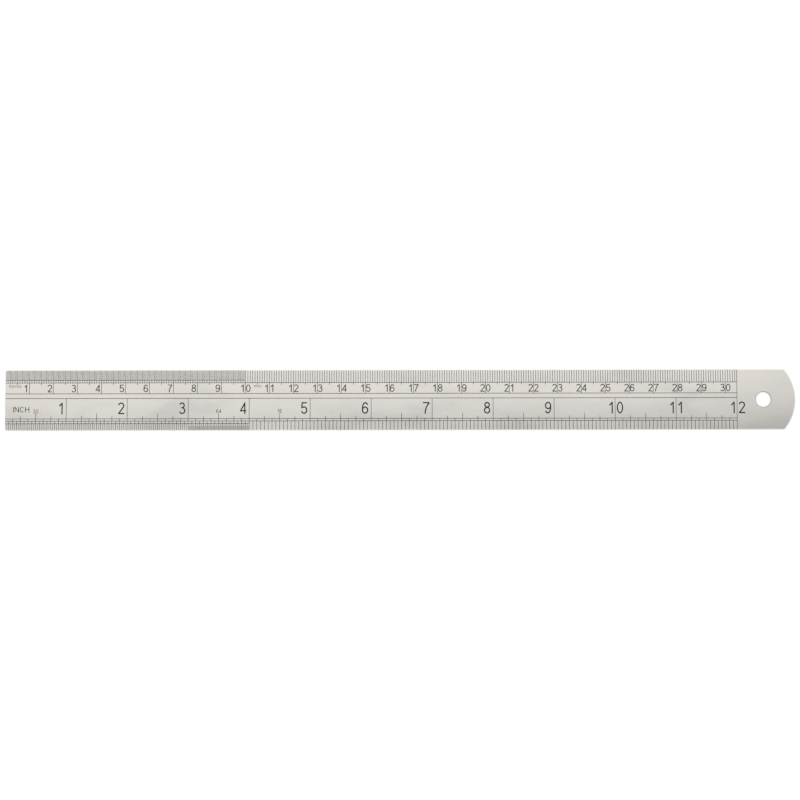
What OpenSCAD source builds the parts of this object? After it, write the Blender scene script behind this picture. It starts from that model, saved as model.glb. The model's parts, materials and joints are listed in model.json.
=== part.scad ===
// Steel rule with a metric scale along one edge and an inch scale along the other.
//
// A flat stainless blade, square at the zero end and rounded at the other, with a hanging hole.
// Its graduations and numerals are thin black enamel on the top face, and the enamel of each
// kind of mark is a node of its own. A graduation is cut where it crosses a rail, so that no two
// pieces of enamel overlap.
//
// Frame, in millimetres: X runs along the blade from the zero end, Y runs across it towards the
// metric edge, Z points up out of the graduated face. The origin lies on the underside, at the
// zero end, half way across the blade.

/* [Blade] */
// Length of both scales, from the zero end to the last line
scale_l = 304.8; // [152.4:25.4:609.6]
// Plain tail beyond the last line, measured to the tip
tail_l = 24.2; // [20:0.2:60]
// Width of the blade
blade_w = 25; // [20.5:0.5:32]
// Thickness of the blade
blade_t = 1; // [0.5:0.1:2]
// Radius of the rounded end
end_r = 19.3; // [18:0.1:60]
// Deburring bevel round the rounded end
end_bevel = 0.15; // [0.05:0.05:0.2]

/* [Hanging hole] */
// Diameter of the hanging hole
hole_d = 6.35; // [3:0.05:9]
// Distance from the centre of the hole to the tip of the rounded end
hole_to_tip = 13.2; // [7:0.1:14]
// Deburring bevel on both rims of the hole
hole_bevel = 0.15; // [0.05:0.05:0.2]

/* [Enamel] */
// How far the enamel stands on the face
enamel_t = 0.03; // [0.02:0.01:0.15]
// Width of a graduation line
line_w = 0.18; // [0.08:0.01:0.22]
// Width of the closest lines: half-millimetres, thirty-seconds and sixty-fourths
fine_line_w = 0.14; // [0.06:0.01:0.16]
// Width of the long rails
rail_w = 0.21; // [0.08:0.01:0.3]

/* [Metric scale] */
// Length of the finely divided first stretch, in whole centimetres
fine_metric_l = 100; // [50:10:150]
// Distance from the metric edge to the rail of the half-millimetre lines
half_mm_rail_at = 4.15; // [3:0.05:4.5]
// Gap between the half-millimetre rail and the millimetre rail
mm_rail_gap = 1.07; // [0.6:0.01:1.2]
// How far a five-millimetre line runs past the millimetre rail
five_mm_past = 0.9; // [0.4:0.1:1]
// Gap between the millimetre rail and the metric base rail
metric_band = 4.54; // [4:0.02:5]
// Height of the centimetre numerals
cm_numeral_h = 3.15; // [2:0.05:3.2]
// Clear space between the centimetre numerals and the metric base rail
cm_numeral_clear = 0.65; // [0.2:0.05:0.7]

/* [Inch scale] */
// Number of inches divided into thirty-seconds, counted from the zero end
inches_in_32nds = 3; // [1:1:4]
// Number of inches after them divided into sixty-fourths
inches_in_64ths = 1; // [1:1:2]
// Length of a sixty-fourth line
sixty_fourth_l = 1.75; // [1:0.05:2]
// Distance from the inch edge to the rail of the thirty-second lines
thirty_second_rail_at = 2.75; // [2.4:0.05:3]
// Gap between the thirty-second rail and the sixteenth rail
sixteenth_rail_gap = 1.05; // [0.6:0.01:1.2]
// Gap between the sixteenth rail and the eighth rail
eighth_rail_gap = 0.96; // [0.6:0.01:1.2]
// How far a quarter-inch line runs past the eighth rail
quarter_past = 1.12; // [0.6:0.02:1.2]
// How far a half-inch line runs past the eighth rail
half_past = 2.16; // [1.4:0.02:2.2]
// Gap between the two base rails, along the middle of the blade
base_rail_gap = 1.97; // [0.8:0.01:2.4]
// Share of the height between quarter-inch lines and base rail that the inch numerals fill
inch_numeral_share = 0.66; // [0.4:0.01:0.7]
// Share of the height between half-inch lines and base rail that the unit word fills
word_share = 0.38; // [0.3:0.01:0.6]

/* [Lettering] */
// Width of a numeral as a share of its height
digit_w = 0.56; // [0.45:0.01:0.6]
// Width of the numeral 1 as a share of its height
one_w = 0.34; // [0.3:0.01:0.4]
// Pen width as a share of the numeral's height
pen = 0.105; // [0.07:0.005:0.12]
// How much wider than their own shape the centimetre numerals are drawn
cm_spread = 1.08; // [0.9:0.01:1.15]
// Clear space between a one-digit centimetre numeral and the line that it belongs to
cm_side_clear = 0.55; // [0.3:0.05:1.2]
// Clear space between a centimetre line and the digits on each side of it
cm_straddle_clear = 0.14; // [0.1:0.02:0.5]
// Extra clear space that a centimetre numeral 1 takes on its right
cm_one_inset = 0.48; // [0:0.02:0.6]
// How much wider than their own shape the inch numerals are drawn
inch_spread = 0.97; // [0.9:0.01:1.15]
// Clear space between a one-digit inch numeral and the line that it belongs to
inch_side_clear = 1.2; // [0.5:0.05:2]
// Clear space between an inch line and the digits on each side of it
inch_straddle_clear = 0.6; // [0.3:0.05:1.2]
// Extra clear space that an inch numeral 1 takes on its right
inch_one_inset = 0.28; // [0:0.02:0.6]
// Height of the small division labels
label_h = 1.6; // [1:0.1:1.8]
// Clear space between a small label and the line that it stands on
label_clear = 0.2; // [0.1:0.05:0.3]
// Distance from the zero end to the unit word
word_at = 3.3; // [1.5:0.1:4]
// Clear space between the unit word and the first small label
word_to_label = 1.65; // [0.8:0.05:2.5]
// How much higher than the foot of the small labels the unit word stands
word_lift = 0.4; // [0:0.05:0.6]
// Height of the tall signs in the small millimetre marks
unit_mark_h = 1.25; // [0.8:0.05:1.4]
// Distance from the zero end to the middle of the half-millimetre mark
unit_mark_at = 4; // [3.5:0.1:4.5]

/* [Hidden] */

half_mm = 0.5;
mm = 1;
five_mm = 5;
cm = 10;
inch = 25.4;
steel = [0.79, 0.78, 0.76];
enamel = [0.13, 0.12, 0.11];
// Facets that a preview gives to the round end and to the hanging hole
round_fn = 180;
// How far a cutting shape stands clear of the face that it cuts
cut_over = 0.2;
// Degrees of a numeral's bowl between two points of its outline
bowl_step = 12;
// How far from a whole number a count may be and still be taken as whole
count_slack = 0.001;

// Shapes of the figures, all as shares of their height
letter_w = 0.7;
slash_w = 0.3;
m_w = 1.1;
m_h = 0.7;
sign_gap = 0.16;
// Centre line of a stroke that lies along the left side or the foot, or along the top
near = pen / 2;
top = 1 - pen / 2;
// Middle of a numeral, and the half width of a bowl's centre line
mid = digit_w / 2;
bowl_rx = mid - near;

overall_l = scale_l + tail_l;
end_centre_x = overall_l - end_r;
hole_x = overall_l - hole_to_tip;

// Rails, as distances from the edge that their scale belongs to
mm_rail_at = half_mm_rail_at + mm_rail_gap;
metric_base_at = mm_rail_at + metric_band;
sixteenth_rail_at = thirty_second_rail_at + sixteenth_rail_gap;
eighth_rail_at = sixteenth_rail_at + eighth_rail_gap;
inch_base_at = blade_w - metric_base_at - base_rail_gap;

// Lines, as lengths from the edge
five_mm_l = mm_rail_at + five_mm_past;
quarter_l = eighth_rail_at + quarter_past;
half_l = eighth_rail_at + half_past;

// Rows of numerals, as distances from the edge to the nearer end of the figures
inch_numeral_h = inch_numeral_share * (inch_base_at - quarter_l);
inch_numeral_foot = quarter_l + (inch_base_at - quarter_l - inch_numeral_h) / 3;
cm_numeral_foot = metric_base_at - cm_numeral_clear;
label_foot = half_l + label_clear;
word_h = word_share * (inch_base_at - label_foot);

// Ends of the stretches that are divided differently
last_mm = ceil(scale_l) - 1;
fine_32nd_l = inches_in_32nds * inch;
fine_inch_l = (inches_in_32nds + inches_in_64ths) * inch;
whole_inches = floor(scale_l / inch + count_slack);
// What each differently divided stretch of inches is labelled, and where it starts
stretch_labels = [["32", 0], ["64", fine_32nd_l], ["16", fine_inch_l]];
// A pitch that no line of either scale falls on, for the longest lines of each scale
no_coarser = 2 * scale_l;

// The inch scale is drawn from its own edge upwards, the metric scale from its own edge downwards
inch_edge = -blade_w / 2;
metric_edge = blade_w / 2;

// ---------------------------------------------------------------- graduations

// Stretches of a line of this reach that lie between the rails that it crosses
function stretches(reach, rails) =
    let (
        crossed = [for (r = rails) if (r <= reach) r],
        starts = concat([0], [for (r = crossed) r + rail_w / 2]),
        ends = concat([for (r = crossed) r - rail_w / 2], [reach])
    )
    [for (i = [0 : len(starts) - 1]) if (ends[i] > starts[i]) [starts[i], ends[i]]];

// Rails that a metric line crosses at this distance from the zero end
function metric_rails(x) =
    x <= fine_metric_l ? [half_mm_rail_at, mm_rail_at, metric_base_at] : [mm_rail_at, metric_base_at];

// Rails that an inch line crosses at this distance from the zero end
function inch_rails(x) =
    x <= fine_inch_l + line_w
        ? [thirty_second_rail_at, sixteenth_rail_at, eighth_rail_at, inch_base_at]
        : [sixteenth_rail_at, eighth_rail_at, inch_base_at];

// Places from one end to the other at this pitch, leaving out every place that a coarser line takes
function places(pitch, coarser, from, to) =
    [for (i = [ceil(from / pitch - count_slack) : floor(to / pitch + count_slack)])
        if (i > 0 && i * pitch < scale_l - line_w && !is_whole(i * pitch / coarser)) i * pitch];

function is_whole(v) = abs(v - round(v)) < count_slack;

module graduate_metric(xs, reach, w = line_w) {
    for (x = xs)
        for (s = stretches(reach, metric_rails(x)))
            translate([x - w / 2, metric_edge - s[1]])
                square([w, s[1] - s[0]]);
}

module graduate_inches(xs, reach, w = line_w) {
    for (x = xs)
        for (s = stretches(reach, inch_rails(x)))
            translate([x - w / 2, inch_edge + s[0]])
                square([w, s[1] - s[0]]);
}

// A rail from the zero end to this distance along the blade
module rail(y, to) {
    translate([0, y - rail_w / 2])
        square([to, rail_w]);
}

// ---------------------------------------------------------------- pen strokes

// Figures are drawn one unit high. A stroke is a ribbon of the pen's width along a centre line.

function unit(v) = v / norm(v);
function left_of(v) = [-v[1], v[0]];

// Points of an elliptical arc about a centre, from one angle to another
function arc(centre, rx, ry, from, to) =
    let (steps = ceil(abs(to - from) / bowl_step))
    [for (i = [0 : steps]) let (a = from + (to - from) * i / steps) centre + [rx * cos(a), ry * sin(a)]];

// Sideways shift that keeps both neighbouring stretches half a pen away from the centre line
function mitre(path, i) =
    let (
        last = len(path) - 1,
        into = unit(path[max(i, 1)] - path[max(i, 1) - 1]),
        out = unit(path[min(i, last - 1) + 1] - path[min(i, last - 1)]),
        side = unit(left_of(into) + left_of(out))
    )
    side * (pen / 2) / (side * left_of(into));

module stroke(path) {
    last = len(path) - 1;
    polygon(concat(
        [for (i = [0 : last]) path[i] + mitre(path, i)],
        [for (i = [last : -1 : 0]) path[i] - mitre(path, i)]
    ));
}

// A closed bowl, given by its outer half width and half height
module bowl(centre, rx, ry) {
    difference() {
        polygon(arc(centre, rx, ry, 0, 360 - bowl_step));
        polygon(arc(centre, rx - pen, ry - pen, 0, 360 - bowl_step));
    }
}

// ---------------------------------------------------------------- figures

module figure_1() {
    stem = one_w - near;
    stroke([[stem, 0], [stem, 1]]);
    stroke([[stem, top - 0.01], [0.04, 0.69]]);
}

module figure_2() {
    stroke(concat(arc([mid, 0.72], bowl_rx, top - 0.72, 168, -32), [[near + 0.02, near + 0.015]]));
    stroke([[0.015, near], [digit_w, near]]);
}

module figure_3() {
    stroke(concat([[mid - 0.07, 0.535]], arc([mid - 0.01, 0.745], bowl_rx - 0.035, top - 0.745, -90, 160)));
    stroke(arc([mid, 0.29], bowl_rx, 0.245, 90, -162));
}

module figure_4() {
    stem = 0.76 * digit_w;
    bar = 0.275;
    stroke([[stem, 0], [stem, 1]]);
    stroke([[0, bar], [digit_w, bar]]);
    stroke([[stem, top - 0.02], [near + 0.01, bar + 0.01]]);
}

module figure_5() {
    stroke([[digit_w - 0.03, top], [near + 0.06, top], [near + 0.015, 0.5]]);
    stroke(arc([mid, 0.325], bowl_rx, 0.325 - near, 142, -162));
}

module figure_6() {
    bowl([mid, 0.315], mid, 0.315);
    stroke(arc([mid + 0.02, 0.5], bowl_rx + 0.02, top - 0.5, 36, 195));
}

module figure_7() {
    stroke([[0.01, top], [digit_w, top]]);
    stroke(arc([digit_w + 0.46, 0], 0.82, 1.13, 123, 180));
}

module figure_8() {
    bowl([mid, 0.755], mid - 0.035, 0.245);
    bowl([mid, 0.29], mid, 0.29);
}

module figure_9() {
    translate([digit_w, 1])
        rotate(180)
            figure_6();
}

module letter_n() {
    stroke([[near, 0], [near, 1]]);
    stroke([[near, top], [letter_w - near, near]]);
    stroke([[letter_w - near, 0], [letter_w - near, 1]]);
}

module letter_c() {
    stroke(arc([letter_w / 2, 0.5], letter_w / 2 - near, top - 0.5, 40, 320));
}

module letter_h() {
    stroke([[near, 0], [near, 1]]);
    stroke([[near, 0.53], [letter_w - near, 0.53]]);
    stroke([[letter_w - near, 0], [letter_w - near, 1]]);
}

module letter_m() {
    arch = (m_w - pen) / 4;
    stroke([[near, 0], [near, m_h]]);
    for (side = [0, 1]) {
        centre = near + arch + side * 2 * arch;
        stroke(concat(arc([centre, m_h - arch], arch, arch - near, 180, 0), [[centre + arch, 0]]));
    }
}

module figure(c) {
    if (c == "0") bowl([mid, 0.5], mid, 0.5);
    if (c == "1") figure_1();
    if (c == "2") figure_2();
    if (c == "3") figure_3();
    if (c == "4") figure_4();
    if (c == "5") figure_5();
    if (c == "6") figure_6();
    if (c == "7") figure_7();
    if (c == "8") figure_8();
    if (c == "9") figure_9();
    if (c == "I") stroke([[near, 0], [near, 1]]);
    if (c == "N") letter_n();
    if (c == "C") letter_c();
    if (c == "H") letter_h();
    if (c == "m") letter_m();
    if (c == "/") stroke([[near, 0], [slash_w - near, 1]]);
}

function figure_w(c) =
    c == "1" ? one_w : c == "I" ? pen : c == "m" ? m_w : c == "/" ? slash_w
    : c == "N" || c == "C" || c == "H" ? letter_w : digit_w;

// Distance from the start of a row to its nth figure, in figure heights
function figure_at(chars, n) = n == 0 ? 0 : figure_at(chars, n - 1) + figure_w(chars[n - 1]) + sign_gap;

function row_w(chars) = figure_at(chars, len(chars)) - sign_gap;

// A row of figures, one unit high, that starts at the origin
module row(chars) {
    for (i = [0 : len(chars) - 1])
        translate([figure_at(chars, i), 0])
            figure(chars[i]);
}

// A row of this height, centred on the origin
module centred_row(chars, h) {
    translate([-h * row_w(chars) / 2, 0])
        scale(h)
            row(chars);
}

// The number of a line: one digit stands to the left of it, two digits stand astride it.
// A second digit 1 takes half of its extra clear space on its left.
module line_number(n, x, y, h, spread, side_clear, straddle_clear, one_inset) {
    digits = str(n);
    alone = len(digits) == 1;
    clear = alone ? side_clear : straddle_clear + line_w / 2;
    lead = spread * h * figure_w(digits[0]) + (digits[0] == "1" ? one_inset : 0);
    translate([x - clear - lead, y])
        scale([spread * h, h])
            figure(digits[0]);
    if (!alone)
        translate([x + clear + (digits[1] == "1" ? one_inset / 2 : 0), y])
            scale([spread * h, h])
                figure(digits[1]);
}

// ---------------------------------------------------------------- metric marks

// Enamel of this outline on the top face
module printed() {
    color(enamel)
        translate([0, 0, blade_t])
            linear_extrude(enamel_t)
                children();
}

module half_millimetre_lines() {
    printed()
        graduate_metric(places(half_mm, mm, 0, fine_metric_l), half_mm_rail_at, fine_line_w);
}

module millimetre_lines() {
    printed()
        graduate_metric(places(mm, five_mm, 0, last_mm), mm_rail_at);
}

module five_millimetre_lines() {
    printed()
        graduate_metric(places(five_mm, cm, 0, last_mm), five_mm_l);
}

module centimetre_lines() {
    printed()
        graduate_metric(places(cm, no_coarser, 0, last_mm), metric_base_at);
}

module half_millimetre_rail() {
    printed()
        rail(metric_edge - half_mm_rail_at, fine_metric_l + line_w / 2);
}

module millimetre_rail() {
    printed()
        rail(metric_edge - mm_rail_at, scale_l - line_w / 2);
}

module metric_base_rail() {
    printed()
        rail(metric_edge - metric_base_at, scale_l - line_w / 2);
}

// The last number is left out where its second digit would meet the scale end line
module centimetre_numerals() {
    room = line_w + 2 * cm_straddle_clear + cm_spread * digit_w * cm_numeral_h;
    printed()
        for (n = [1 : floor((scale_l - room) / cm)])
            line_number(n, n * cm, metric_edge - cm_numeral_foot, cm_numeral_h, cm_spread,
                cm_side_clear, cm_straddle_clear, cm_one_inset);
}

// One mark near the zero end and one where the half-millimetre lines stop, below the nearest
// five-millimetre lines
module millimetre_unit_marks() {
    foot = metric_edge - five_mm_l - label_clear - m_h * unit_mark_h;
    printed() {
        translate([unit_mark_at, foot])
            centred_row("1/2mm", unit_mark_h);
        translate([fine_metric_l + five_mm, foot])
            centred_row("mm", unit_mark_h);
    }
}

// ---------------------------------------------------------------- inch marks

module inch_lines() {
    printed()
        graduate_inches(places(inch, no_coarser, 0, scale_l), inch_base_at);
}

module half_inch_lines() {
    printed()
        graduate_inches(places(inch / 2, inch, 0, scale_l), half_l);
}

module quarter_inch_lines() {
    printed()
        graduate_inches(places(inch / 4, inch / 2, 0, scale_l), quarter_l);
}

module eighth_inch_lines() {
    printed()
        graduate_inches(places(inch / 8, inch / 4, 0, scale_l), eighth_rail_at);
}

module sixteenth_inch_lines() {
    printed()
        graduate_inches(places(inch / 16, inch / 8, 0, scale_l), sixteenth_rail_at);
}

module thirty_second_inch_lines() {
    printed()
        graduate_inches(places(inch / 32, inch / 16, 0, fine_inch_l), thirty_second_rail_at,
            fine_line_w);
}

module sixty_fourth_inch_lines() {
    printed()
        graduate_inches(places(inch / 64, inch / 32, fine_32nd_l, fine_inch_l), sixty_fourth_l,
            fine_line_w);
}

module inch_base_rail() {
    printed()
        rail(inch_edge + inch_base_at, scale_l - line_w / 2);
}

module eighth_inch_rail() {
    printed()
        rail(inch_edge + eighth_rail_at, scale_l - line_w / 2);
}

module sixteenth_inch_rail() {
    printed()
        rail(inch_edge + sixteenth_rail_at, scale_l - line_w / 2);
}

module thirty_second_inch_rail() {
    printed()
        rail(inch_edge + thirty_second_rail_at, fine_inch_l + line_w / 2);
}

module inch_numerals() {
    printed()
        for (n = [1 : whole_inches])
            line_number(n, n * inch, inch_edge + inch_numeral_foot, inch_numeral_h, inch_spread,
                inch_side_clear, inch_straddle_clear, inch_one_inset);
}

// The word fills the room between its start and the label of the first half inch
module inch_unit_word() {
    word = "INCH";
    word_w = inch / 2 - label_h * row_w(stretch_labels[0][0]) / 2 - word_to_label - word_at;
    printed()
        translate([word_at, inch_edge + label_foot + word_lift])
            scale([word_w / row_w(word), word_h])
                row(word);
}

// Each label stands over the first half-inch line of the stretch that it describes
module division_labels() {
    printed()
        for (label = stretch_labels)
            translate([label[1] + inch / 2, inch_edge + label_foot])
                centred_row(label[0], label_h);
}

// The last line of both scales runs from edge to edge
module scale_end_line() {
    printed()
        translate([scale_l - line_w / 2, inch_edge])
            square([line_w, blade_w]);
}

// ---------------------------------------------------------------- blade

// The round end is a disc with a bevelled rim
module end_disc() {
    translate([end_centre_x, 0, 0])
        rotate_extrude($fn = round_fn)
            polygon([
                [0, 0], [end_r - end_bevel, 0], [end_r, end_bevel],
                [end_r, blade_t - end_bevel], [end_r - end_bevel, blade_t], [0, blade_t]
            ]);
}

module blank() {
    intersection() {
        translate([0, inch_edge, 0])
            cube([overall_l, blade_w, blade_t]);
        union() {
            translate([0, inch_edge, 0])
                cube([end_centre_x, blade_w, blade_t]);
            end_disc();
        }
    }
}

// The hanging hole with a bevel at each rim
module hanging_hole() {
    hole_r = hole_d / 2;
    bevel_h = hole_bevel + cut_over;
    translate([hole_x, 0, 0]) {
        translate([0, 0, -cut_over])
            cylinder(h = blade_t + 2 * cut_over, r = hole_r, $fn = round_fn);
        translate([0, 0, blade_t - hole_bevel])
            cylinder(h = bevel_h, r1 = hole_r, r2 = hole_r + bevel_h, $fn = round_fn);
        translate([0, 0, -cut_over])
            cylinder(h = bevel_h, r1 = hole_r + bevel_h, r2 = hole_r, $fn = round_fn);
    }
}

module blade() {
    color(steel)
        difference() {
            blank();
            hanging_hole();
        }
}

blade();
half_millimetre_lines();
millimetre_lines();
five_millimetre_lines();
centimetre_lines();
half_millimetre_rail();
millimetre_rail();
metric_base_rail();
centimetre_numerals();
millimetre_unit_marks();
inch_lines();
half_inch_lines();
quarter_inch_lines();
eighth_inch_lines();
sixteenth_inch_lines();
thirty_second_inch_lines();
sixty_fourth_inch_lines();
inch_base_rail();
eighth_inch_rail();
sixteenth_inch_rail();
thirty_second_inch_rail();
inch_numerals();
inch_unit_word();
division_labels();
scale_end_line();
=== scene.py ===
"""A stainless steel rule with enamelled metric and inch scales, lying on a pale studio floor."""

import json
import math

import bmesh
import bpy
from bpy.props import FloatProperty, FloatVectorProperty, IntProperty, PointerProperty
from mathutils import Matrix, Vector


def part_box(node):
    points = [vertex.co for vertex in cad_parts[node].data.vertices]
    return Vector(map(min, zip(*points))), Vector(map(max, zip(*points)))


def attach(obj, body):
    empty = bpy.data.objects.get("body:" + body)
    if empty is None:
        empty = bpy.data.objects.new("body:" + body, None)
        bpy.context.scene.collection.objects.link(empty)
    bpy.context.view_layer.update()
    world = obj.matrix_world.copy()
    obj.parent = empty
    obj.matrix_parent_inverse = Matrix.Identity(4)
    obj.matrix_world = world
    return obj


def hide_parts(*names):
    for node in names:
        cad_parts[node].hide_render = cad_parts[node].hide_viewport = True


bl_info = {
    "name": "Steel Rule",
    "version": (1, 0, 0),
    "blender": (4, 5, 0),
    "location": "3D View > Sidebar > Steel Rule",
    "description": "Makes a satin steel rule with black enamel scales, and the studio around it",
    "category": "Object",
}

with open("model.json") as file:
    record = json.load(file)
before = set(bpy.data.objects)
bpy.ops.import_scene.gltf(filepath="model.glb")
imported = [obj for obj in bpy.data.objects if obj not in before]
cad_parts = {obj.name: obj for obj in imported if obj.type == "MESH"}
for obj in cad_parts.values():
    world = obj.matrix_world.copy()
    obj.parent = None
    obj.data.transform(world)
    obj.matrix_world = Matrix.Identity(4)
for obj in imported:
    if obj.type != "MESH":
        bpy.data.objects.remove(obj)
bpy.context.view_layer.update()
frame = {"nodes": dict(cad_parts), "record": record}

MM = 0.001
BLADE_LOW, BLADE_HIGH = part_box("blade")
HALF_WIDTH = BLADE_HIGH.y
THICKNESS = BLADE_HIGH.z - BLADE_LOW.z
TIP_X = BLADE_HIGH.x
HOLE = next(mount for mount in frame["record"]["mounts"] if mount["name"] == "hanging_hole")
HOLE_X = HOLE["pos_m"][0]
HOLE_RADIUS = HOLE["dims"]["r_mm"] * MM
# The bevel on each rim of the hole takes up what the straight wall leaves of the thickness
HOLE_BEVEL = (THICKNESS - HOLE["dims"]["length_mm"] * MM) / 2

# The round end starts where the straight edges stop
EDGE_TOLERANCE = 0.002 * MM
SHOULDER_X = max(
    corner.co.x for corner in frame["nodes"]["blade"].data.vertices
    if corner.co.y > HALF_WIDTH - EDGE_TOLERANCE
)
END_SAGITTA = TIP_X - SHOULDER_X
END_RADIUS = (END_SAGITTA**2 + HALF_WIDTH**2) / (2 * END_SAGITTA)
END_CENTRE_X = TIP_X - END_RADIUS

METRIC_MARKS = [
    "half_millimetre_lines",
    "millimetre_lines",
    "five_millimetre_lines",
    "centimetre_lines",
    "half_millimetre_rail",
    "millimetre_rail",
    "metric_base_rail",
]
INCH_MARKS = [
    "inch_lines",
    "half_inch_lines",
    "quarter_inch_lines",
    "eighth_inch_lines",
    "sixteenth_inch_lines",
    "thirty_second_inch_lines",
    "sixty_fourth_inch_lines",
    "inch_base_rail",
    "eighth_inch_rail",
    "sixteenth_inch_rail",
    "thirty_second_inch_rail",
    "scale_end_line",
]
NUMERALS = ["centimetre_numerals", "inch_numerals"]
SMALL_LETTERING = ["millimetre_unit_marks", "inch_unit_word", "division_labels"]

# Painted shade that darkens and cools the face across the blade: the power of its curve, its share at the
# zero end and what each metre adds
PAINTED_SHADE_CURVE = 1.6
PAINTED_SHADE_AT_ZERO = 0.08
PAINTED_SHADE_PER_METRE = 0.66
# How far the painted shade blends the face towards the shaded steel colour, and how much it strengthens the
# streaks
PAINTED_SHADE_TO_SHADED_STEEL = 3.0
PAINTED_SHADE_STREAKS = 0.45
# How far before the hole's centre the face starts to darken towards the tip, and by what share
TIP_FADE = 25.0 * MM
TIP_DARKENING = 0.07
# Distances from an edge, in millimetres, between which the worn line fades out
WORN_FROM = 0.05
WORN_TO = 0.45
# Stands for "nowhere near the round end", in millimetres
FAR = 1000.0

# Brightness of the ground edges, and of the punched wall of the hole, which is darkened as painted shade
GROUND_BRIGHTNESS = 1.0
PUNCHED_SHADE_BRIGHTNESS = 0.45
# Depth of the grinding marks, and of the unevenness of the enamel
MARKS_DEPTH = 0.0015 * MM
PEEL_DEPTH = 0.004 * MM
# How far a thin spot in the enamel turns to bare steel, and how bright that steel is
THIN_ENAMEL_SHARE = 0.25
BARE_STEEL_SHARE = 0.35

# How upright a face's normal is at least on a flat face, and at most on a wall
FLAT_LEAN = 0.999
WALL_LEAN = 0.05
# Edges between two roundings are shaded smooth under this angle, in radians
SMOOTH_UNDER = 0.6
# Facets across each kind of rounding
CORNER_STEPS = 8
RIM_STEPS = 3
EDGE_STEPS = 2
# Points closer than this become one
JOIN_WITHIN = 0.0002 * MM
# Places of the three finishes among the blade's materials
SATIN, GROUND, PUNCHED_SHADED = range(3)

FLOOR_SIZE = 14.0
FLOOR_GAP = 0.02 * MM
ROOM_COLOUR = (0.96, 0.98, 1.0, 1.0)
SOFTBOX_LENGTH = 2.0
SOFTBOX_WIDTH = 1.2
SOFTBOX_COLOUR = (1.0, 0.965, 0.92)
SOFTBOX_PLACE = (TIP_X / 2, 0.12, 1.3)
NEAREST_SEEN = 0.01
FURTHEST_SEEN = 50.0
# The camera looks at a point this far from the middle of the blade
AIM_SHIFT_X = -0.07 * MM
AIM_SHIFT_Y = -0.05 * MM


# ---------------------------------------------------------------- sizes and colours


class RuleBladeSizes(bpy.types.PropertyGroup):
    """Sizes of the blade that its frame leaves open"""

    edge_round: FloatProperty(
        name="Edge rounding", description="Width of the fine rounding on the straight edges",
        default=0.03 * MM, min=0.005 * MM, max=0.1 * MM, subtype="DISTANCE", unit="LENGTH", precision=6,
    )
    end_round: FloatProperty(
        name="End rounding", description="Width of the deburred rounding on the round end",
        default=0.12 * MM, min=0.02 * MM, max=0.2 * MM, subtype="DISTANCE", unit="LENGTH", precision=6,
    )
    corner_radius: FloatProperty(
        name="Corner radius", description="Radius of the two corners at the zero end",
        default=0.3 * MM, min=0.05 * MM, max=0.4 * MM, subtype="DISTANCE", unit="LENGTH", precision=6,
    )
    end_steps: IntProperty(
        name="End steps", description="Facets from a shoulder to the tip", default=48, min=8, max=160,
    )
    hole_steps: IntProperty(
        name="Hole steps", description="Facets round half of the hanging hole", default=72, min=12, max=160,
    )


class RuleFinishColours(bpy.types.PropertyGroup):
    """Colours and strengths of the finishes"""

    steel: FloatVectorProperty(
        name="Steel", description="Colour of the satin face",
        default=(0.611, 0.591, 0.567), min=0.0, max=1.0, subtype="COLOR",
    )
    # The shaded steel colour is the painted shade that the satin face blends towards
    shaded_steel: FloatVectorProperty(
        name="Shaded steel", description="Colour of the satin face where it turns duller and cooler",
        default=(0.572, 0.567, 0.552), min=0.0, max=1.0, subtype="COLOR",
    )
    ground_steel: FloatVectorProperty(
        name="Ground steel", description="Colour of the ground edges",
        default=(0.66, 0.647, 0.627), min=0.0, max=1.0, subtype="COLOR",
    )
    enamel: FloatVectorProperty(
        name="Enamel", description="Colour of the filled scale marks",
        default=(0.009, 0.008, 0.007), min=0.0, max=1.0, subtype="COLOR",
    )
    satin: FloatProperty(
        name="Satin roughness", description="Roughness of the satin face", default=0.42, min=0.1, max=0.9,
        subtype="FACTOR",
    )
    grain_depth: FloatProperty(
        name="Grain depth", description="Depth of the rolled grain in the face",
        default=0.0012 * MM, min=0.0, max=0.01 * MM, subtype="DISTANCE", unit="LENGTH", precision=8,
    )


class RuleStudio(bpy.types.PropertyGroup):
    """The floor, the light and the camera"""

    floor: FloatVectorProperty(
        name="Floor", description="Colour of the floor", default=(0.72, 0.72, 0.72), min=0.0, max=1.0,
        subtype="COLOR",
    )
    floor_glow: FloatProperty(
        name="Floor glow", description="Light that comes through the floor from below", default=0.5,
        min=0.0, max=3.0,
    )
    room: FloatProperty(
        name="Room light", description="Brightness of the room", default=0.5, min=0.0, max=3.0,
    )
    softbox: FloatProperty(
        name="Softbox power", description="Power of the overhead softbox", default=7.85, min=0.0, max=100.0,
        unit="POWER",
    )
    camera_height: FloatProperty(
        name="Camera distance", description="Distance from the camera to the blade", default=1.0, min=0.3,
        max=3.0, subtype="DISTANCE", unit="LENGTH",
    )
    camera_elevation: FloatProperty(
        name="Camera elevation", description="Angle of the camera above the floor",
        default=math.radians(84.8), min=0.2, max=math.pi / 2, subtype="ANGLE", unit="ROTATION",
    )
    camera_roll: FloatProperty(
        name="Camera roll", description="Turn of the camera about its own axis",
        default=math.radians(0.092), min=-0.2, max=0.2, subtype="ANGLE", unit="ROTATION",
    )
    lens: FloatProperty(
        name="Lens", description="Focal length in millimetres", default=108.02, min=20.0, max=300.0,
    )


# ---------------------------------------------------------------- shader maths


class Wire:
    """A shader output that takes part in ordinary arithmetic"""

    def __init__(self, finish, socket):
        self.finish = finish
        self.socket = socket

    def maths(self, operation, first, second):
        return self.finish.node("ShaderNodeMath", {"operation": operation}, {0: first, 1: second})

    def __add__(self, other):
        return self.maths("ADD", self, other)

    __radd__ = __add__

    def __sub__(self, other):
        return self.maths("SUBTRACT", self, other)

    def __rsub__(self, other):
        return self.maths("SUBTRACT", other, self)

    def __mul__(self, other):
        return self.maths("MULTIPLY", self, other)

    __rmul__ = __mul__

    def __truediv__(self, other):
        return self.maths("DIVIDE", self, other)

    def __pow__(self, other):
        return self.maths("POWER", self, other)


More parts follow.
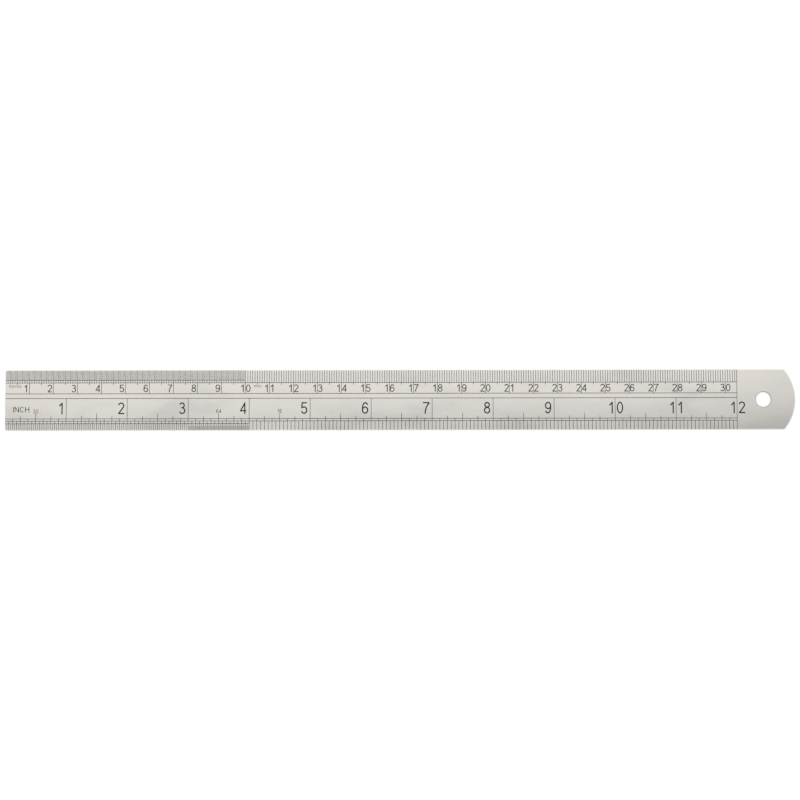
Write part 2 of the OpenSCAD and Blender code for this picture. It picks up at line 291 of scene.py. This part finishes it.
class Finish:
    """One material and the nodes that make it"""

    def __init__(self, name):
        self.material = bpy.data.materials.new(name)
        self.material.use_nodes = True
        self.tree = self.material.node_tree
        self.tree.nodes.clear()
        self.place = self.node("ShaderNodeTexCoord", out="Object")

    def node(self, kind, settings=None, sockets=None, out=0):
        """Adds a node, gives it its settings, then fills or links its sockets"""
        node = self.tree.nodes.new(kind)
        for name, value in (settings or {}).items():
            setattr(node, name, value)
        for name, value in (sockets or {}).items():
            if isinstance(value, Wire):
                self.tree.links.new(value.socket, node.inputs[name])
            else:
                node.inputs[name].default_value = value
        return Wire(self, node.outputs[out]) if node.outputs else None

    def stretched(self, per_mm):
        """Object position, in steps of this many per millimetre along each axis"""
        scale = tuple(step / MM for step in per_mm)
        return self.node("ShaderNodeVectorMath", {"operation": "MULTIPLY"}, {0: self.place, 1: scale})

    def noise(self, per_mm, detail=3.0, roughness=0.55, distortion=0.0):
        """A cloudy value about 0.5, with this many clouds per millimetre along each axis"""
        return self.node(
            "ShaderNodeTexNoise", None,
            {"Vector": self.stretched(per_mm), "Scale": 1.0, "Detail": detail, "Roughness": roughness,
             "Distortion": distortion},
        )

    def above(self, value, low, high, way="SMOOTHSTEP"):
        """0 where the value is short of low, 1 where it is past high, and a ramp in between"""
        return self.node(
            "ShaderNodeMapRange", {"interpolation_type": way},
            {"Value": value, "From Min": low, "From Max": high, "To Min": 0.0, "To Max": 1.0},
        )

    def blend(self, share, first, second):
        """From the first colour to the second"""
        return self.node(
            "ShaderNodeMix", {"data_type": "RGBA"},
            {0: share, 6: opaque(first), 7: opaque(second)}, out=2,
        )

    def shaded(self, colour, brightness):
        """A colour times a brightness that varies"""
        return self.node(
            "ShaderNodeVectorMath", {"operation": "SCALE"}, {0: opaque(colour, 3), "Scale": brightness},
        )

    def axis(self, name):
        """The object position along one axis, in metres"""
        return self.node("ShaderNodeSeparateXYZ", None, {0: self.place}, out=name)

    def bump(self, height, depth):
        """A normal bent by a height from 0 to 1, where 1 stands this deep in metres"""
        return self.node("ShaderNodeBump", None, {"Strength": 1.0, "Distance": depth, "Height": height})

    def surface(self, settings):
        """Ends the tree in one Principled surface"""
        shader = self.node("ShaderNodeBsdfPrincipled", None, settings)
        self.node("ShaderNodeOutputMaterial", None, {"Surface": shader})
        return self.material


def opaque(colour, length=4):
    """A colour as a socket takes it; a link is left as it is"""
    if isinstance(colour, Wire):
        return colour
    return tuple(colour)[:3] + (1.0,) * (length - 3)


# ---------------------------------------------------------------- finishes


def satin_steel(colours):
    """Rolled stainless with a fine grain along the blade, light clouding, brightened edges and painted shade
    towards the inch edge and the round end
    """
    finish = Finish("satin_steel")
    grain = finish.noise((0.05, 9.0, 9.0), detail=4.0, roughness=0.6)
    fine_grain = finish.noise((0.35, 30.0, 30.0), detail=2.0)
    speckle = finish.noise((1.1, 1.6, 1.6), detail=2.0, roughness=0.7)
    clouds = finish.noise((0.035, 0.11, 0.11), detail=3.0, roughness=0.5)
    streaks = finish.noise((0.07, 0.95, 0.95), detail=2.0, roughness=0.5, distortion=0.5)
    haze = finish.above(finish.noise((0.02, 0.05, 0.05), detail=4.0, roughness=0.6), 0.5, 0.72)

    # Distance to the nearest edge of the blade, in millimetres
    x, y = finish.axis("X"), finish.axis("Y")
    across = (HALF_WIDTH - finish.node("ShaderNodeMath", {"operation": "ABSOLUTE"}, {0: y})) / MM
    along_end = x - END_CENTRE_X
    reach = (along_end * along_end + y * y) ** 0.5
    past_centre = finish.above(along_end, 0.0, 0.001 * MM)
    to_end = (END_RADIUS - reach) / MM + (1 - past_centre) * FAR
    to_edge = across.maths("MINIMUM", across, to_end)
    worn = 1 - finish.above(to_edge + (clouds - 0.5) * 0.5, WORN_FROM, WORN_TO)

    # Painted shade: the face turns darker and cooler towards the inch edge, more so towards the round end
    towards_inch = finish.above(y, HALF_WIDTH, -HALF_WIDTH, "LINEAR") ** PAINTED_SHADE_CURVE
    painted_shade = towards_inch * (PAINTED_SHADE_AT_ZERO + x * PAINTED_SHADE_PER_METRE)
    near_tip = finish.above(x, HOLE_X - TIP_FADE, TIP_X)

    tone = (
        1.0
        + (speckle - 0.5) * 0.2
        + (grain - 0.5) * 0.16
        + (clouds - 0.5) * 0.12
        + (streaks - 0.5) * (0.04 + painted_shade * PAINTED_SHADE_STREAKS)
        - haze * 0.03
        - near_tip * TIP_DARKENING
        - painted_shade
        + worn * 0.04
    )
    roughness = (
        colours.satin
        + (streaks - 0.5) * 0.06
        + (speckle - 0.5) * 0.08
        + (grain - 0.5) * 0.12
        + haze * 0.06
        - worn * 0.12
    )
    # The painted shade blends the steel towards its shaded copy
    steel = finish.blend(painted_shade * PAINTED_SHADE_TO_SHADED_STEEL, colours.steel, colours.shaded_steel)
    return finish.surface({
        "Base Color": finish.shaded(steel, tone),
        "Metallic": 1.0,
        "Roughness": roughness,
        "Normal": finish.bump(grain * 0.6 + fine_grain * 0.4, colours.grain_depth),
    })


def ground_steel(colours, name, brightness):
    """The ground edges, or the punched wall of the hole darkened by painted shade, with marks that run round
    them
    """
    finish = Finish(name)
    marks = finish.noise((0.8, 0.8, 26.0), detail=3.0, roughness=0.6)
    patches = finish.noise((0.25, 0.25, 1.2), detail=2.0)
    tone = brightness * (0.94 + (marks - 0.5) * 0.25 + (patches - 0.5) * 0.12)
    return finish.surface({
        "Base Color": finish.shaded(colours.ground_steel, tone),
        "Metallic": 1.0,
        "Roughness": 0.30 + (marks - 0.5) * 0.25 + (patches - 0.5) * 0.1,
        "Normal": finish.bump(marks, MARKS_DEPTH),
    })


def enamel(colours, name):
    """Half matt black enamel with small thin spots where the steel starts to show"""
    finish = Finish(name)
    peel = finish.noise((7.0, 7.0, 7.0), detail=2.0)
    fading = finish.noise((0.4, 0.7, 0.7), detail=3.0, roughness=0.6)
    thin = finish.above(finish.noise((2.5, 3.5, 3.5), detail=3.0, roughness=0.65), 0.62, 0.78)
    full = finish.shaded(colours.enamel, 0.8 + fading * 0.4)
    bare = tuple(channel * BARE_STEEL_SHARE for channel in colours.steel)
    return finish.surface({
        "Base Color": finish.blend(thin * THIN_ENAMEL_SHARE, full, bare),
        "Roughness": 0.5 + (peel - 0.5) * 0.25 + thin * 0.1,
        "Specular IOR Level": 0.25,
        "Normal": finish.bump(peel, PEEL_DEPTH),
    })


def floor_finish(studio):
    """A pale floor, lit a little from below, that shows nothing from underneath"""
    finish = Finish("pale_floor")
    drift = finish.noise((0.004, 0.004, 0.004), detail=2.0)
    colour = finish.shaded(studio.floor, 0.98 + drift * 0.04)
    top = finish.node(
        "ShaderNodeBsdfPrincipled", None,
        {"Base Color": colour, "Roughness": 0.9, "Specular IOR Level": 0.1,
         "Emission Color": (1.0, 1.0, 1.0, 1.0), "Emission Strength": studio.floor_glow},
    )
    below = finish.node("ShaderNodeBsdfTransparent")
    seen_from_below = finish.node("ShaderNodeNewGeometry", out="Backfacing")
    both = finish.node("ShaderNodeMixShader", None, {0: seen_from_below, 1: top, 2: below})
    finish.node("ShaderNodeOutputMaterial", None, {"Surface": both})
    return finish.material


# ---------------------------------------------------------------- the blade


def half_outline(bm, sizes):
    """One face on the underside, from the centre line to the metric edge"""
    z = BLADE_LOW.z
    zero_middle = bm.verts.new((BLADE_LOW.x, 0.0, z))
    zero_corner = bm.verts.new((BLADE_LOW.x, HALF_WIDTH, z))
    shoulder = bm.verts.new((SHOULDER_X, HALF_WIDTH, z))
    rim = bm.verts.new((HOLE_X + HOLE_RADIUS, 0.0, z))
    bm.edges.new((zero_middle, zero_corner))
    bm.edges.new((zero_corner, shoulder))
    turn = {"axis": (0.0, 0.0, 1.0), "dvec": (0.0, 0.0, 0.0), "use_duplicate": False}
    round_end = bmesh.ops.spin(
        bm, geom=[shoulder], cent=(END_CENTRE_X, 0.0, z),
        angle=-math.atan2(HALF_WIDTH, SHOULDER_X - END_CENTRE_X), steps=sizes.end_steps, **turn,
    )
    half_hole = bmesh.ops.spin(
        bm, geom=[rim], cent=(HOLE_X, 0.0, z), angle=math.pi, steps=sizes.hole_steps, **turn,
    )
    tip = next(item for item in round_end["geom_last"] if isinstance(item, bmesh.types.BMVert))
    near_rim = next(item for item in half_hole["geom_last"] if isinstance(item, bmesh.types.BMVert))
    # Both spins end on the centre line
    tip.co = (TIP_X, 0.0, z)
    near_rim.co = (HOLE_X - HOLE_RADIUS, 0.0, z)
    bm.edges.new((tip, rim))
    bm.edges.new((near_rim, zero_middle))
    bmesh.ops.edgenet_fill(bm, edges=bm.edges[:])


def round_over(bm, edges, offset, segments):
    """Rounds these edges off, and brings the normals up to date"""
    bmesh.ops.bevel(
        bm, geom=edges, offset=offset, offset_type="OFFSET", segments=segments, profile=0.5,
        affect="EDGES", clamp_overlap=True, material=-1,
    )
    bm.normal_update()


def from_hole(vert):
    """Distance from the axis of the hole"""
    return math.hypot(vert.co.x - HOLE_X, vert.co.y)


def face_kind(face):
    """Whether a face lies flat, stands upright, or rounds the edge between the two"""
    lean = abs(face.normal.z)
    return "flat" if lean > FLAT_LEAN else "wall" if lean < WALL_LEAN else "rounding"


def rim_edges(bm, belongs):
    """Edges between a flat face and a wall whose two ends both pass the test"""
    return [
        edge for edge in bm.edges
        if len(edge.link_faces) == 2
        and {face_kind(face) for face in edge.link_faces} == {"flat", "wall"}
        and all(belongs(vert) for vert in edge.verts)
    ]


def make_blade(sizes, colours):
    """The blade: half its outline, mirrored, given its thickness, then rounded at every edge"""
    bm = bmesh.new()
    half_outline(bm, sizes)
    bmesh.ops.mirror(
        bm, geom=bm.verts[:] + bm.edges[:] + bm.faces[:], matrix=Matrix.Identity(4),
        merge_dist=EDGE_TOLERANCE, axis="Y",
    )
    bmesh.ops.remove_doubles(bm, verts=bm.verts[:], dist=EDGE_TOLERANCE)
    raised = bmesh.ops.extrude_face_region(bm, geom=bm.faces[:])
    bmesh.ops.translate(
        bm, verts=[item for item in raised["geom"] if isinstance(item, bmesh.types.BMVert)],
        vec=(0.0, 0.0, THICKNESS),
    )
    bmesh.ops.recalc_face_normals(bm, faces=bm.faces[:])

    near_zero = BLADE_LOW.x + EDGE_TOLERANCE
    near_side = HALF_WIDTH - EDGE_TOLERANCE
    corners = [
        edge for edge in bm.edges
        if all(vert.co.x < near_zero and abs(vert.co.y) > near_side for vert in edge.verts)
    ]
    round_over(bm, corners, sizes.corner_radius, CORNER_STEPS)
    hole_reach = HOLE_RADIUS + EDGE_TOLERANCE
    round_over(bm, rim_edges(bm, lambda vert: from_hole(vert) < hole_reach), HOLE_BEVEL, RIM_STEPS)
    on_end = SHOULDER_X - EDGE_TOLERANCE
    clear_of_hole = HOLE_RADIUS + 2 * HOLE_BEVEL
    round_over(
        bm, rim_edges(bm, lambda vert: vert.co.x > on_end and from_hole(vert) > clear_of_hole),
        sizes.end_round, RIM_STEPS,
    )
    before_end = SHOULDER_X + EDGE_TOLERANCE
    round_over(
        bm, rim_edges(bm, lambda vert: vert.co.x < before_end and from_hole(vert) > clear_of_hole),
        sizes.edge_round, EDGE_STEPS,
    )
    bmesh.ops.remove_doubles(bm, verts=bm.verts[:], dist=JOIN_WITHIN)
    bmesh.ops.recalc_face_normals(bm, faces=bm.faces[:])
    bm.normal_update()

    for face in bm.faces:
        face.smooth = True
        at_hole = all(from_hole(vert) < clear_of_hole for vert in face.verts)
        # Faces round the hole take the darkened copy of the ground steel, which is painted shade
        face.material_index = SATIN if face_kind(face) == "flat" else PUNCHED_SHADED if at_hole else GROUND
    for edge in bm.edges:
        kinds = {face_kind(face) for face in edge.link_faces}
        edge.smooth = len(kinds) == 1 and "flat" not in kinds and edge.calc_face_angle(0.0) < SMOOTH_UNDER

    mesh = bpy.data.meshes.new("steel_blade")
    bm.to_mesh(mesh)
    bm.free()
    blade = bpy.data.objects.new("steel_blade", mesh)
    bpy.context.scene.collection.objects.link(blade)
    mesh.materials.append(satin_steel(colours))
    mesh.materials.append(ground_steel(colours, "ground_steel", GROUND_BRIGHTNESS))
    # The hole's wall gets a darkened copy of the ground steel: painted shade
    mesh.materials.append(ground_steel(colours, "punched_steel_painted_shade", PUNCHED_SHADE_BRIGHTNESS))
    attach(blade, "root")
    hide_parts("blade")
    return blade


def coat(nodes, material):
    """Gives the scale marks of these names their enamel"""
    for name in nodes:
        for slot in frame["nodes"][name].material_slots:
            slot.material = material


# ---------------------------------------------------------------- the stage


def make_floor(scene, studio):
    """A wide floor just under the blade"""
    bm = bmesh.new()
    bmesh.ops.create_grid(bm, x_segments=4, y_segments=4, size=FLOOR_SIZE / 2)
    bmesh.ops.translate(bm, verts=bm.verts[:], vec=(TIP_X / 2, 0.0, BLADE_LOW.z - FLOOR_GAP))
    mesh = bpy.data.meshes.new("floor")
    bm.to_mesh(mesh)
    bm.free()
    mesh.materials.append(floor_finish(studio))
    floor = bpy.data.objects.new("floor", mesh)
    scene.collection.objects.link(floor)


def light_stage(scene, studio):
    """An even room and one large softbox overhead"""
    world = bpy.data.worlds.new("studio_room")
    world.use_nodes = True
    background = world.node_tree.nodes["Background"]
    background.inputs["Color"].default_value = ROOM_COLOUR
    background.inputs["Strength"].default_value = studio.room
    scene.world = world

    light = bpy.data.lights.new("softbox", "AREA")
    light.shape = "RECTANGLE"
    light.size = SOFTBOX_LENGTH
    light.size_y = SOFTBOX_WIDTH
    light.energy = studio.softbox
    light.color = SOFTBOX_COLOUR
    softbox = bpy.data.objects.new("softbox", light)
    softbox.location = SOFTBOX_PLACE
    softbox.visible_camera = False
    scene.collection.objects.link(softbox)


def aim_camera(scene, studio):
    """The camera high over the middle of the blade, looking down at its face"""
    camera = bpy.data.cameras.new("camera")
    camera.lens = studio.lens
    camera.clip_start = NEAREST_SEEN
    camera.clip_end = FURTHEST_SEEN
    eye = bpy.data.objects.new("camera", camera)
    aim = Vector((TIP_X / 2 + AIM_SHIFT_X, AIM_SHIFT_Y, BLADE_HIGH.z))
    back = Vector((0.0, -math.cos(studio.camera_elevation), math.sin(studio.camera_elevation)))
    looking = (-back).to_track_quat("-Z", "Y").to_matrix().to_4x4()
    turned = looking @ Matrix.Rotation(-studio.camera_roll, 4, "Z")
    eye.matrix_world = Matrix.Translation(aim + back * studio.camera_height) @ turned
    scene.collection.objects.link(eye)
    scene.camera = eye
    scene.view_settings.view_transform = "Standard"


# ---------------------------------------------------------------- operators


class RULE_OT_make_blade(bpy.types.Operator):
    """Make the steel blade with its hanging hole"""

    bl_idname = "rule.make_blade"
    bl_label = "Make the Blade"

    def execute(self, context):
        make_blade(context.scene.rule_blade, context.scene.rule_finish)
        return {"FINISHED"}


class RULE_OT_coat_metric_scale(bpy.types.Operator):
    """Coat the lines and rails of the metric scale"""

    bl_idname = "rule.coat_metric_scale"
    bl_label = "Coat the Metric Scale"

    def execute(self, context):
        coat(METRIC_MARKS, enamel(context.scene.rule_finish, "metric_enamel"))
        return {"FINISHED"}


class RULE_OT_coat_inch_scale(bpy.types.Operator):
    """Coat the lines and rails of the inch scale"""

    bl_idname = "rule.coat_inch_scale"
    bl_label = "Coat the Inch Scale"

    def execute(self, context):
        coat(INCH_MARKS, enamel(context.scene.rule_finish, "inch_enamel"))
        return {"FINISHED"}


class RULE_OT_coat_lettering(bpy.types.Operator):
    """Coat the numerals and the small unit marks"""

    bl_idname = "rule.coat_lettering"
    bl_label = "Coat the Lettering"

    def execute(self, context):
        coat(NUMERALS, enamel(context.scene.rule_finish, "numeral_enamel"))
        coat(SMALL_LETTERING, enamel(context.scene.rule_finish, "lettering_enamel"))
        return {"FINISHED"}


class RULE_OT_set_stage(bpy.types.Operator):
    """Set out the floor, the light and the camera"""

    bl_idname = "rule.set_stage"
    bl_label = "Set the Stage"

    def execute(self, context):
        scene = context.scene
        make_floor(scene, scene.rule_studio)
        light_stage(scene, scene.rule_studio)
        aim_camera(scene, scene.rule_studio)
        return {"FINISHED"}


class VIEW3D_PT_steel_rule(bpy.types.Panel):
    """Sizes, finishes and stage of the steel rule"""

    bl_idname = "VIEW3D_PT_steel_rule"
    bl_label = "Steel Rule"
    bl_space_type = "VIEW_3D"
    bl_region_type = "UI"
    bl_category = "Steel Rule"

    def draw(self, context):
        for group in GROUPS:
            settings = getattr(context.scene, group)
            box = self.layout.box()
            for name in settings.__annotations__:
                box.prop(settings, name)
        for operator in OPERATORS:
            self.layout.operator(operator.bl_idname)


GROUPS = {"rule_blade": RuleBladeSizes, "rule_finish": RuleFinishColours, "rule_studio": RuleStudio}
OPERATORS = [
    RULE_OT_make_blade,
    RULE_OT_coat_metric_scale,
    RULE_OT_coat_inch_scale,
    RULE_OT_coat_lettering,
    RULE_OT_set_stage,
]
CLASSES = [*GROUPS.values(), *OPERATORS, VIEW3D_PT_steel_rule]


def register():
    for cls in CLASSES:
        bpy.utils.register_class(cls)
    for name, group in GROUPS.items():
        setattr(bpy.types.Scene, name, PointerProperty(type=group))


def unregister():
    for name in GROUPS:
        delattr(bpy.types.Scene, name)
    for cls in reversed(CLASSES):
        bpy.utils.unregister_class(cls)


def main():
    register()
    bpy.ops.rule.make_blade()
    bpy.ops.rule.coat_metric_scale()
    bpy.ops.rule.coat_inch_scale()
    bpy.ops.rule.coat_lettering()
    bpy.ops.rule.set_stage()


if __name__ == "__main__":
    main()
